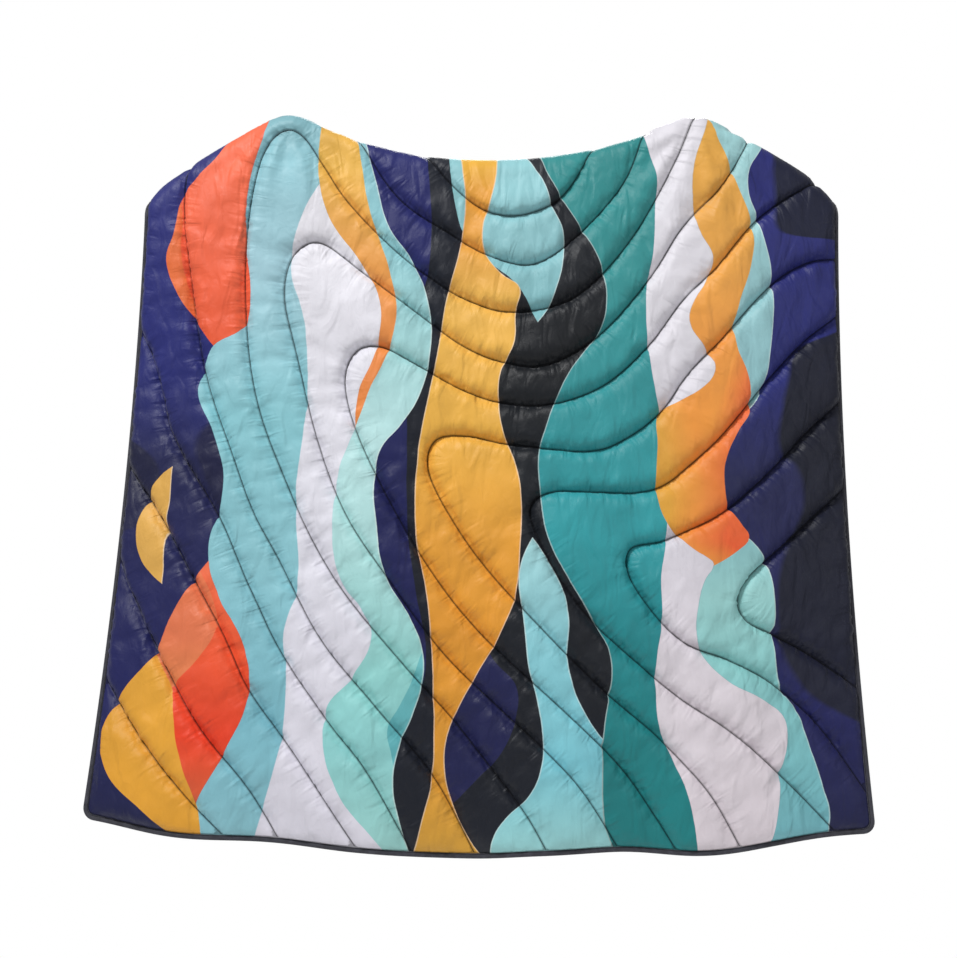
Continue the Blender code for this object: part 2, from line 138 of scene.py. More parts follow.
seams = [drawn_line(points, CLOTH_STEP) for points in QUILTING.values()]
sewn_lines = [hem_line(0, CLOTH_STEP * 1.2), hem_line(TAPE_WIDTH, CLOTH_STEP * 1.2)]
fixed = np.concatenate([*sewn_lines, *seams])
sewn_edges, first = [], 0
for line in [*sewn_lines, *seams]:
    n = len(line)
    closed = len(sewn_edges) < sum(map(len, sewn_lines))
    sewn_edges += [(first + i, first + (i + 1) % n) for i in range(n if closed else n - 1)]
    first += n

# The free cloth between the seams, in staggered rows, left clear of every sewn point.
chance = np.random.default_rng(7)
free = []
for row, y in enumerate(np.arange(CLOTH_STEP, LENGTH - CLOTH_STEP / 2, CLOTH_STEP * 0.866)):
    x = np.arange(-HALF + CLOTH_STEP * (0.6 + 0.5 * (row % 2)), HALF, CLOTH_STEP)
    free.append(np.stack([x, np.full_like(x, y)], 1))
free = np.concatenate(free)
free += chance.uniform(-0.18, 0.18, free.shape) * CLOTH_STEP
margin = TAPE_WIDTH + CLOTH_STEP * 0.4
free = free[(np.abs(free[:, 0]) < HALF - margin) & (free[:, 1] > margin)
            & (free[:, 1] < LENGTH - margin)]
tree = KDTree(len(fixed))
for i, (x, y) in enumerate(fixed):
    tree.insert((x, y, 0), i)
tree.balance()
free = free[[tree.find((x, y, 0))[2] > CLOTH_STEP * 0.6 for x, y in free]]
flat_points, _, cloth_faces, source, _, _ = geometry.delaunay_2d_cdt(
    [Vector(p) for p in np.concatenate([fixed, free])], sewn_edges, [], 0, 1e-6)
flat = np.array([tuple(p) for p in flat_points])
sewn = np.array([any(i < len(fixed) for i in found) for found in source])


# ---- printed face panel: puffed up by its filling ----
# The quilting and the hem hold the cloth down, and the filling pushes it up between them. The
# panel is a little long for its seams, so it gathers into short wrinkles across each channel.
MOST_LOFT = 0.026  # the filling's own thickness on this side of the widest channels
CLOTH_SLACK = 0.018  # how much longer the panel is than its seams, as a share
PUFF_FRAMES = 12


def puffed(flat, faces, sewn, frames):
    """Cloth blown up between its sewn points. Returns how far each point moved, in metres."""
    mesh = bpy.data.meshes.new("puffing")
    mesh.from_pydata([(x, y, 0) for x, y in flat], [], faces)
    start = np.zeros((len(flat), 3), np.float32)
    start[:, :2] = flat
    start[~sewn, 2] = 0.0015 + chance.uniform(0, 0.0006, (~sewn).sum())
    mesh.vertices.foreach_set("co", start.ravel())
    panel = bpy.data.objects.new("puffing", mesh)
    bpy.context.scene.collection.objects.link(panel)
    held = panel.vertex_groups.new(name="sewn")
    held.add([int(i) for i in np.nonzero(sewn)[0]], 1.0, "REPLACE")
    cloth = panel.modifiers.new("cloth", "CLOTH")
    s = cloth.settings
    s.quality, s.mass, s.air_damping = 4, 0.15, 4
    s.tension_stiffness = s.compression_stiffness = 30
    s.shear_stiffness, s.bending_stiffness = 10, 60
    s.tension_damping = s.compression_damping = s.shear_damping = 10
    s.use_pressure, s.uniform_pressure_force = True, 15
    s.vertex_group_mass = "sewn"
    s.shrink_min = s.shrink_max = -CLOTH_SLACK
    s.effector_weights.gravity = 0
    cloth.collision_settings.use_collision = False
    for frame_number in range(1, frames + 1):
        bpy.context.scene.frame_set(frame_number)
    shown = panel.evaluated_get(bpy.context.evaluated_depsgraph_get())
    found = np.empty(len(flat) * 3, np.float32)
    shown.to_mesh().vertices.foreach_get("co", found)
    shown.to_mesh_clear()
    bpy.context.scene.frame_set(1)
    bpy.data.objects.remove(panel, do_unlink=True)
    return found.reshape(-1, 3).astype(float) - np.column_stack([flat, np.zeros(len(flat))])


# Every point's distance from the nearest seam, and how far along that seam it lies.
way, run = [], []
for k, line in enumerate([*sewn_lines, *seams]):
    ahead = np.gradient(line, axis=0)
    way.append(ahead / np.linalg.norm(ahead, axis=1, keepdims=True))
    step = np.linalg.norm(np.diff(line, axis=0), axis=1)
    run.append(np.concatenate([[0], np.cumsum(step)]) + 3.7 * k)
way, run = np.concatenate(way), np.concatenate(run)
nearest = np.array([tree.find((x, y, 0))[1] for x, y in flat])
offset = flat - fixed[nearest]
slide = np.clip((offset * way[nearest]).sum(1), -CLOTH_STEP, CLOTH_STEP)
from_seam = np.linalg.norm(offset - slide[:, None] * way[nearest], axis=1)
along_seam = run[nearest] + slide
ends = np.array([(a, b) for f in cloth_faces for a, b in zip(f, f[1:] + f[:1])])
ends = np.concatenate([ends, ends[:, ::-1]])
count = np.bincount(ends[:, 0], minlength=len(flat))


def beside(values):
    """The mean of each point's neighbours on the panel."""
    return np.bincount(ends[:, 0], values[ends[:, 1]], len(flat)) / count


# Where two seams' gathers meet in the middle of a channel they die away.
meet = np.abs(along_seam[ends[:, 0]] - along_seam[ends[:, 1]]) > 4 * CLOTH_STEP
meet = (np.bincount(ends[:, 0], meet, len(flat)) > 0).astype(float)
for _ in range(6):
    meet = 0.5 * meet + 0.5 * beside(meet)
gather_at = np.clip(1 - from_seam / 0.08, 0, 1) * np.clip(1 - 2.6 * meet, 0, 1)

# The filling alone: a film blown up over its seams, with the sides of each channel made steep
# as a stuffed tube's are, and the widest channels held down to the filling's own thickness.
film = 0.5 * from_seam
for _ in range(600):
    film = np.where(sewn, 0, beside(film) + CLOTH_STEP**2 / 4)
loft = 2.45 * film**0.7
loft = loft / (1 + (loft / MOST_LOFT) ** 4) ** 0.25
puff = puffed(flat, cloth_faces, sewn, PUFF_FRAMES)
gathered = 0.4 + 1.1 * np.exp(-from_seam / 0.03)
for _ in range(2):
    puff = np.stack([np.where(sewn, k, 0.5 * k + 0.5 * beside(k)) for k in puff.T], 1)


# ---- printed face panel: the hang ----
# Two hands hold the blanket up under a fold, so it sags between them, falls away outside them,
# and its top edge hangs down behind. The bottom hem swings a little to the front.
GRIP_HALF, FOLD_R = 0.572, 0.036
HEM_AT = (-1.0, -0.79, -0.54, -0.30, 0.0, 0.15, 0.34, 0.54, 0.74, 0.89, 1.0)
HEM_Z = (-1.808, -1.840, -1.858, -1.876, -1.896, -1.884, -1.880, -1.890, -1.868, -1.852, -1.842)


def smooth_curve(at, stations, values):
    stations, values = np.array(stations), np.array(values)
    slope = np.gradient(values, stations)
    i = np.clip(np.searchsorted(stations, at) - 1, 0, len(stations) - 2)
    h = stations[i + 1] - stations[i]
    p = (at - stations[i]) / h
    return ((1 + 2 * p) * (1 - p) ** 2 * values[i] + p * (1 - p) ** 2 * h * slope[i]
            + p * p * (3 - 2 * p) * values[i + 1] + p * p * (p - 1) * h * slope[i + 1])


def fold_axis(s):
    a = np.abs(s)
    past = (a - GRIP_HALF + np.sqrt((a - GRIP_HALF) ** 2 + 0.05**2)) / 2
    inner = -0.115 + 0.135 * (s / GRIP_HALF) ** 2
    outer = 0.02 - 0.46 * (a - GRIP_HALF)
    z = (inner + outer - np.sqrt((inner - outer) ** 2 + 0.02**2)) / 2
    return (0.974 * s - 0.17 * np.sign(s) * past, 0.03 * (a / HALF) ** 3,
            z - 0.02 * np.clip((a / HALF - 0.867) / 0.133, 0, 1) ** 2)


def hang(s):
    """One column of the blanket: its two fold ends, hem, tilt, half roll and front length."""
    ax, ay, az = fold_axis(s)
    (bx, _, bz), (cx, _, cz) = fold_axis(s + 0.04), fold_axis(s - 0.04)
    tilt = np.arctan2(bz - cz, bx - cx)
    half = math.pi * FOLD_R / 2 / np.cos(tilt)
    top = (ax - np.cos(tilt) * half * np.sin(tilt), ay - FOLD_R,
           az - np.sin(tilt) ** 2 * half)
    hem = (s - 0.037, -0.29 + 0.05 * (s / HALF) ** 2
           + 0.014 * np.cos(2 * math.pi * (s + 0.05) / 0.47),
           smooth_curve(s / HALF, HEM_AT, HEM_Z))
    front = 1.006 * np.sqrt(sum((p - q) ** 2 for p, q in zip(top, hem)))
    return (ax, ay, az), top, hem, tilt, half, front


def drape(s, t):
    """Flat position (across, up from the bottom hem) to the middle of the filling."""
    (ax, ay, az), top, hem, tilt, half, front = hang(s)
    f = np.clip(1 - t / front, 0, 1)
    x = top[0] + (hem[0] - top[0]) * f
    y = top[1] + (hem[1] - top[1]) * f**1.15 + 0.07 * np.abs(s / HALF) ** 3 * 4 * f * (1 - f)
    z = top[2] + (hem[2] - top[2]) * f
    w = t - front - half
    turn = np.clip(w * np.cos(tilt) / FOLD_R, -math.pi / 2, math.pi / 2)
    along = np.clip(w, -half, half) * np.sin(tilt)
    up = FOLD_R * np.cos(turn)
    rolled = w > -half
    x = np.where(rolled, ax + np.cos(tilt) * along - np.sin(tilt) * up, x)
    y = np.where(rolled, ay + FOLD_R * np.sin(turn), y)
    z = np.where(rolled, az + np.sin(tilt) * along + np.cos(tilt) * up, z)
    flap = np.clip(w - half, 0, None)
    out = np.clip((np.abs(s) - GRIP_HALF) / (HALF - GRIP_HALF), 0, 1) ** 0.7
    swing = -np.sign(s) * math.radians(40) * out
    return np.stack([x + flap * np.sin(swing), y + flap * 0.06, z - flap * np.cos(swing)], -1)


def back_normal(s, t, d=5e-4):
    n = np.cross(drape(s, t + d) - drape(s, t - d), drape(s + d, t) - drape(s - d, t))
    return n / np.linalg.norm(n, axis=-1, keepdims=True)


def hung(flat_points, lift):
    """Flat points, each lifted out of the back by its own distance, as hung in space."""
    s = np.clip(flat_points[:, 0], -HALF, HALF)
    t = np.clip(flat_points[:, 1], 0, LENGTH)
    return drape(s, t) + back_normal(s, t) * np.asarray(lift)[:, None]


def made_mesh(name, points, faces, uv=None):
    mesh = bpy.data.meshes.new(name)
    mesh.from_pydata(points.tolist(), [], faces)
    mesh.shade_smooth()
    if uv is not None:
        corner = np.empty(len(mesh.loops), np.int32)
        mesh.loops.foreach_get("vertex_index", corner)
        for layer in ("flat", "OFBake"):
            mesh.uv_layers.new(name=layer).data.foreach_set("uv", uv[corner].ravel())
        for layer, values in (("from_seam", from_seam), ("along_seam", along_seam),
                              ("gather_at", gather_at)):
            mesh.attributes.new(layer, "FLOAT", "POINT").data.foreach_set("value", values)
    mesh.update()
    piece = bpy.data.objects.new(name, mesh)
    bpy.context.scene.collection.objects.link(piece)
    return piece


# Cloth drawn over the hands is taut: the puffs lie lower along the fold, and straight folds
# run out below each grip, up to 4 mm high. They also lie lower by the bottom hem and behind.
*_, half, front = hang(flat[:, 0])
over = np.exp(-((flat[:, 1] - front - half) / 0.11) ** 2)
by_hem = np.exp(-(flat[:, 1] / 0.16) ** 2)
behind = np.clip((flat[:, 1] - front - 2 * half) / 0.08, 0, 1)
lift = (loft + puff[:, 2] * gathered) * (1 - 0.7 * over) * (1 - 0.35 * by_hem)
lift *= 1 - 0.4 * behind
for side in (-1, 1):
    dx, dy = flat[:, 0] - side * GRIP_HALF, 1.93 - flat[:, 1]
    reach, bearing = np.hypot(dx, dy), np.arctan2(dx, dy)
    pull = np.exp(-((reach - 0.12) / 0.30) ** 2) * np.clip(reach / 0.08, 0, 1) * (dy > 0)
    fold = np.cos(13 * bearing + 3 * side + 1.5 * np.sin(2.3 * bearing))
    lift = lift * (1 - 0.3 * pull) + 0.004 * pull * fold * np.clip(from_seam / 0.02, 0, 1)
lift = np.where(sewn, 0, np.clip(lift, 0.0004, None))

STITCHED_HALF = 0.0016  # half the blanket's thickness where the stitches pull it flat
flat_uv = np.column_stack([flat[:, 0] / WIDTH + 0.5, flat[:, 1] / LENGTH])
face_shell = made_mesh("face_shell_cloth",
                       hung(flat + puff[:, :2], -(STITCHED_HALF + lift)),
                       [list(f) for f in cloth_faces], flat_uv)
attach(face_shell, "root")
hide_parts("face_shell")


# ---- printed face panel: satin polyester, printed in wavy bands ----
# Filament polyester woven as a light satin and heat-calendered: a soft broad sheen that runs
# along the puffs, with a fine weave. The print is dye, so it follows the weave's own gloss.
def srgb(text):
    """A hex colour as linear RGBA."""
    parts = [int(text[i:i + 2], 16) / 255 for i in (1, 3, 5)]
    return (*[c / 12.92 if c <= 0.04045 else ((c + 0.055) / 1.055) ** 2.4 for c in parts], 1)


def node(tree, kind, settings=None, **inputs):
    """Adds a node, applies its settings, and sets or links its inputs by name or number."""
    made = tree.nodes.new("ShaderNode" + kind)
    for key, value in (settings or {}).items():
        setattr(made, key, value)
    for key, value in inputs.items():
        socket = made.inputs[int(key[1:]) if key[0] == "n" and key[1:].isdigit()
                             else key.replace("_", " ")]
        if isinstance(value, bpy.types.NodeSocket):
            tree.links.new(value, socket)
        else:
            socket.default_value = value
    return made


def new_material(name):
    made = bpy.data.materials.new(name)
    made.use_nodes = True
    made.node_tree.nodes.clear()
    return made, made.node_tree


def shell_relief(tree, uv):
    """A shell's creases, gathers and seam grooves: (normal, creases, distance from the seam)."""
    seam = node(tree, "Attribute", {"attribute_name": "from_seam"}).outputs["Fac"]
    along = node(tree, "Attribute", {"attribute_name": "along_seam"}).outputs["Fac"]
    # Soft folds 40 to 80 mm apart, upright, where the panel is fuller than its filling.
    wide = node(tree, "Mapping", Vector=uv, Scale=(WIDTH * 20, LENGTH * 8, 1))
    fold = node(tree, "TexNoise", {"noise_dimensions": "2D"}, Vector=wide.outputs[0], Scale=1.0,
                Detail=1.5, Distortion=0.6)
    crest = node(tree, "ValToRGB", None, Fac=fold.outputs["Fac"])
    folds = node(tree, "Bump", None, Strength=1.0, Distance=0.003, Height=crest.outputs[0])
    # Gathers square to each seam, 20 to 40 mm apart, gone before the middle of the channel.
    run = node(tree, "Math", {"operation": "MULTIPLY"}, n0=along, n1=38.0)
    out = node(tree, "Math", {"operation": "MULTIPLY"}, n0=seam, n1=8.0)
    spot = node(tree, "CombineXYZ", None, X=run.outputs[0], Y=out.outputs[0])
    gather = node(tree, "TexNoise", {"noise_dimensions": "2D"}, Vector=spot.outputs[0],
                  Scale=1.0, Detail=1.5, Distortion=0.5)
    pleat = node(tree, "ValToRGB", None, Fac=gather.outputs["Fac"])
    for ramp in (crest, pleat):
        ramp.color_ramp.elements[0].position = 0.32
        ramp.color_ramp.elements[1].position = 0.68
    near = node(tree, "Attribute", {"attribute_name": "gather_at"}).outputs["Fac"]
    pleats = node(tree, "Math", {"operation": "MULTIPLY"}, n0=pleat.outputs[0], n1=near)
    gathers = node(tree, "Bump", None, Strength=1.0, Distance=0.003, Height=pleats.outputs[0],
                   Normal=folds.outputs[0])
    # Small creases that the filling leaves everywhere, 8 to 20 mm long.
    small = node(tree, "Mapping", Vector=uv, Scale=(WIDTH * 55, LENGTH * 40, 1))
    crease = node(tree, "TexNoise", {"noise_dimensions": "2D"}, Vector=small.outputs[0],
                  Scale=1.0, Detail=4.0, Roughness=0.55, Distortion=0.8)
    creases = node(tree, "Bump", None, Strength=0.25, Distance=0.004,
                   Height=crease.outputs["Fac"], Normal=gathers.outputs[0])
    # Each seam pulls the shell into a narrow groove.
    groove = node(tree, "MapRange", {"interpolation_type": "SMOOTHSTEP"}, n0=seam, n1=0.0,
                  n2=0.005)
    pinch = node(tree, "Bump", None, Strength=1.0, Distance=0.0022, Height=groove.outputs[0],
                 Normal=creases.outputs[0])
    return pinch.outputs[0], crease.outputs["Fac"], seam


# Edges of the printed bands: (up from the bottom hem, across from the middle), in metres.
# A band shows only where its left edge lies left of its right edge.
EDGES = {
    "coral_left": [(0.0, -0.77), (0.05, -0.85), (0.12, -0.955), (0.21, -0.985), (0.33, -0.93),
                   (0.43, -0.86), (0.60, -0.785), (0.70, -0.72), (0.75, -0.67), (1.20, -0.66),
                   (1.28, -0.74), (1.34, -0.80), (1.42, -0.875), (1.50, -0.915), (1.58, -0.90),
                   (1.68, -0.885), (1.75, -0.83), (1.83, -0.75), (2.0, -0.71), (2.13, -0.69)],
    "lobe_peach": [(0.0, -1.0), (1.15, -1.0), (1.25, -0.78), (1.33, -0.795), (1.42, -0.835),
                   (1.54, -0.875), (1.62, -0.88), (1.70, -0.90), (1.80, -0.95)],
    "mustard_in": [(0.0, -0.70), (0.08, -0.715), (0.15, -0.745), (0.22, -0.77), (0.30, -0.785),
                   (0.36, -0.80), (0.42, -0.84), (0.50, -0.90), (0.60, -1.0)],
    "peach_in": [(0.30, -0.90), (0.36, -0.81), (0.45, -0.73), (0.53, -0.69), (0.62, -0.71),
                 (0.70, -0.76), (0.80, -0.85)],
    "aqua_left": [(0.0, -0.745), (0.09, -0.715), (0.21, -0.655), (0.35, -0.60), (0.49, -0.615),
                  (0.62, -0.69), (0.72, -0.72), (0.92, -0.69), (1.05, -0.73), (1.15, -0.78),
                  (1.23, -0.765), (1.28, -0.74), (1.33, -0.66), (1.42, -0.637), (1.57, -0.66),
                  (1.74, -0.655), (1.90, -0.61), (2.13, -0.57)],
    "white_left": [(0.0, -0.57), (0.10, -0.545), (0.26, -0.51), (0.39, -0.505), (0.52, -0.52),
                   (0.67, -0.49), (0.87, -0.51), (1.05, -0.50), (1.20, -0.495), (1.35, -0.51),
                   (1.49, -0.55), (1.60, -0.545), (1.73, -0.50), (1.80, -0.45), (2.13, -0.40)],
    "mint_left": [(0.0, -0.23), (0.05, -0.275), (0.12, -0.34), (0.25, -0.395), (0.35, -0.392),
                  (0.43, -0.335), (0.54, -0.29), (0.61, -0.32), (0.67, -0.37), (0.83, -0.405),
                  (0.96, -0.395), (1.08, -0.362), (1.18, -0.35), (1.26, -0.32), (1.33, -0.305),
                  (1.44, -0.31), (1.54, -0.37), (1.64, -0.455), (1.75, -0.495), (1.93, -0.50),
                  (2.13, -0.52)],
    "gold_right": [(0.98, -0.45), (1.09, -0.357), (1.19, -0.32), (1.26, -0.29), (1.33, -0.27),
                   (1.41, -0.26), (1.52, -0.285), (1.60, -0.315), (1.69, -0.35), (1.80, -0.375),
                   (1.90, -0.395), (2.13, -0.42)],
    "mint_right": [(0.0, -0.17), (0.08, -0.20), (0.16, -0.22), (0.25, -0.215), (0.35, -0.18),
                   (0.44, -0.155), (0.52, -0.16), (0.60, -0.195), (0.70, -0.26), (0.84, -0.29),
                   (0.95, -0.30), (1.03, -0.285), (1.10, -0.235), (1.18, -0.19), (1.31, -0.162),
                   (1.43, -0.17), (1.55, -0.22), (1.64, -0.29), (1.77, -0.335), (1.87, -0.365),
                   (2.13, -0.40)],
    "sliver_left": [(0.0, -0.10), (0.20, -0.215), (0.25, -0.23), (0.31, -0.24), (0.37, -0.213),
                    (0.44, -0.182), (0.52, -0.155), (0.60, -0.10)],
    "dark_left": [(0.0, -0.24), (0.30, -0.24), (0.40, -0.165), (0.52, -0.15), (0.66, -0.18),
                  (0.80, -0.205), (0.95, -0.215), (1.10, -0.22), (1.20, -0.23), (1.38, -0.22),
                  (1.50, -0.18), (1.65, -0.17), (1.87, -0.19), (2.13, -0.20)],
    "amber_left": [(0.0, -0.165), (0.08, -0.15), (0.20, -0.125), (0.32, -0.125), (0.45, -0.13),
                   (0.64, -0.15), (0.83, -0.188), (1.0, -0.19), (1.10, -0.18), (1.29, -0.145),
                   (1.46, -0.12), (1.59, -0.088), (1.73, -0.075), (1.86, -0.09), (2.13, -0.10)],
    "amber_right": [(0.0, 0.015), (0.06, -0.03), (0.13, -0.065), (0.20, -0.088), (0.29, -0.09),
                    (0.37, -0.06), (0.46, -0.01), (0.56, 0.05), (0.66, 0.09), (0.78, 0.10),
                    (0.90, 0.102), (1.0, 0.085), (1.09, 0.05), (1.17, 0.035), (1.26, 0.04),
                    (1.33, 0.075), (1.42, 0.078), (1.48, 0.088), (1.52, 0.04), (1.58, -0.01),
                    (1.66, -0.02), (1.73, 0.0), (1.80, 0.015), (1.90, 0.02), (2.13, 0.03)],
    "leaf_left": [(1.33, 0.18), (1.38, 0.14), (1.44, 0.112), (1.50, 0.07), (1.60, -0.05),
                  (1.70, -0.10), (2.13, -0.10)],
    "leaf_right": [(1.34, 0.10), (1.38, 0.14), (1.42, 0.168), (1.47, 0.19), (1.55, 0.21),
                   (1.63, 0.21), (1.70, 0.18), (1.78, 0.15), (1.86, 0.10), (2.13, 0.08)],
    "night_right": [(0.08, -0.12), (0.15, -0.05), (0.20, 0.0), (0.26, 0.06), (0.33, 0.09),
                    (0.42, 0.095), (0.50, 0.03), (0.56, 0.0)],
    "reed_left": [(0.0, 0.03), (0.06, 0.045), (0.10, 0.075), (0.15, 0.13), (0.22, 0.158),
                  (0.30, 0.16), (0.39, 0.145), (0.47, 0.125), (0.58, 0.112), (0.66, 0.10),
                  (0.73, 0.10), (0.80, 0.128), (0.90, 0.20)],
    "reed_right": [(0.0, 0.36), (0.25, 0.34), (0.29, 0.305), (0.35, 0.265), (0.42, 0.235),
                   (0.50, 0.223), (0.60, 0.225), (0.67, 0.21), (0.74, 0.175), (0.81, 0.128),
                   (0.90, 0.05)],
    "teal_left": [(0.0, 0.345), (0.06, 0.32), (0.15, 0.308), (0.24, 0.31), (0.32, 0.315),
                  (0.42, 0.333), (0.50, 0.33), (0.60, 0.28), (0.70, 0.22), (0.80, 0.172),
                  (0.92, 0.15), (1.03, 0.145), (1.10, 0.165), (1.17, 0.19), (1.24, 0.225),
                  (1.30, 0.27), (1.35, 0.31), (1.43, 0.33), (1.50, 0.325), (1.56, 0.305),
                  (1.63, 0.265), (1.74, 0.195), (1.85, 0.14), (2.13, 0.09)],
    "teal_right": [(0.0, 0.557), (0.08, 0.548), (0.16, 0.53), (0.24, 0.495), (0.31, 0.465),
                   (0.40, 0.455), (0.50, 0.46), (0.58, 0.475), (0.70, 0.475), (0.80, 0.49),
                   (0.95, 0.492), (1.09, 0.488), (1.20, 0.465), (1.26, 0.455), (1.45, 0.445),
                   (1.58, 0.467), (1.70, 0.475), (1.78, 0.48), (1.89, 0.45), (2.13, 0.42)],
    "pale_right": [(0.0, 0.74), (0.09, 0.755), (0.18, 0.768), (0.26, 0.783), (0.32, 0.77),
                   (0.37, 0.715), (0.42, 0.64), (0.48, 0.585), (0.55, 0.562), (0.64, 0.567),
                   (0.70, 0.582), (0.72, 0.594), (0.735, 0.597), (0.75, 0.585), (0.77, 0.562),
                   (0.80, 0.533), (0.84, 0.495), (0.90, 0.47),
                   (1.05, 0.47), (1.14, 0.48), (1.17, 0.53), (1.20, 0.575), (1.25, 0.605),
                   (1.30, 0.592), (1.38, 0.557), (1.44, 0.565), (1.50, 0.59), (1.56, 0.603),
                   (1.63, 0.58), (1.72, 0.566), (1.82, 0.568), (1.94, 0.592), (2.13, 0.62)],
    "orange_right": [(0.66, 0.48), (0.73, 0.60), (0.76, 0.655), (0.79, 0.69), (0.83, 0.67),
                     (0.88, 0.638), (0.95, 0.624), (1.01, 0.63), (1.08, 0.665), (1.13, 0.702),
                     (1.18, 0.703), (1.24, 0.69), (1.31, 0.662), (1.38, 0.66), (1.45, 0.68),
                     (1.53, 0.71), (1.60, 0.722), (1.67, 0.708), (1.76, 0.67), (1.86, 0.63),
                     (1.94, 0.60), (2.13, 0.55)],
    "glow_gold": [(0.0, 0.40), (0.75, 0.49), (0.82, 0.52), (0.88, 0.54), (0.97, 0.54),
                  (1.08, 0.525), (1.18, 0.50), (1.30, 0.45)],
    "glow_red": [(0.0, 0.75), (0.70, 0.66), (0.75, 0.63), (0.80, 0.585), (0.84, 0.60),
                 (0.90, 0.62), (1.0, 0.605), (1.10, 0.635), (1.20, 0.66), (1.30, 0.70),
                 (1.45, 0.75)],
    "sea_right": [(0.0, 0.897), (0.06, 0.90), (0.13, 0.88), (0.22, 0.85), (0.32, 0.815),
                  (0.40, 0.775), (0.48, 0.758), (0.60, 0.76), (0.68, 0.752), (0.74, 0.73),
                  (0.80, 0.68), (0.90, 0.58), (1.05, 0.60), (1.11, 0.67), (1.17, 0.735),
                  (1.30, 0.766), (1.40, 0.78), (1.50, 0.778), (1.58, 0.76), (1.66, 0.735),
                  (1.74, 0.705), (1.80, 0.715), (1.87, 0.77), (2.0, 0.83), (2.13, 0.87)],
    "dusk_left": [(0.0, 1.10), (0.24, 1.04), (0.30, 0.94), (0.36, 0.855), (0.42, 0.81),
                  (0.48, 0.78), (0.60, 0.765), (0.70, 0.78), (0.80, 0.835), (0.89, 0.86),
                  (0.96, 0.84), (1.02, 0.79), (1.13, 0.80), (1.20, 0.82), (1.27, 0.85),
                  (1.32, 0.97), (1.36, 1.10), (1.56, 1.10), (1.59, 0.90), (1.62, 0.80),
                  (1.70, 0.80), (1.80, 0.795), (2.13, 0.80)],
    "shade_right": [(0.0, -1.1), (0.70, -1.1), (0.76, -0.94), (0.85, -0.875), (0.93, -0.885),
                    (0.98, -0.95), (1.03, -1.1)],
    "shade_left": [(0.0, -0.55), (0.80, -0.66), (0.84, -0.70), (0.93, -0.75), (1.0, -0.775),
                   (1.04, -0.765), (1.10, -0.70), (1.20, -0.60)],
    "moon_left": [(0.58, -0.78), (0.62, -0.835), (0.645, -0.88), (0.68, -0.915), (0.74, -0.937),
                  (0.80, -0.932), (0.85, -0.91), (0.89, -0.893), (0.94, -0.845), (0.98, -0.79)],
    "moon_right": [(0.55, -0.84), (0.69, -0.846), (0.77, -0.85), (0.86, -0.842), (1.0, -0.845)],
}
# Where a light band meets a dark one, the dark ink stops 3 mm short and a pale line shows.
PALE_RIMS = {"mint_right", "amber_left", "amber_right", "leaf_right", "reed_left", "reed_right",
             "teal_left", "moon_right", "sea_right"}
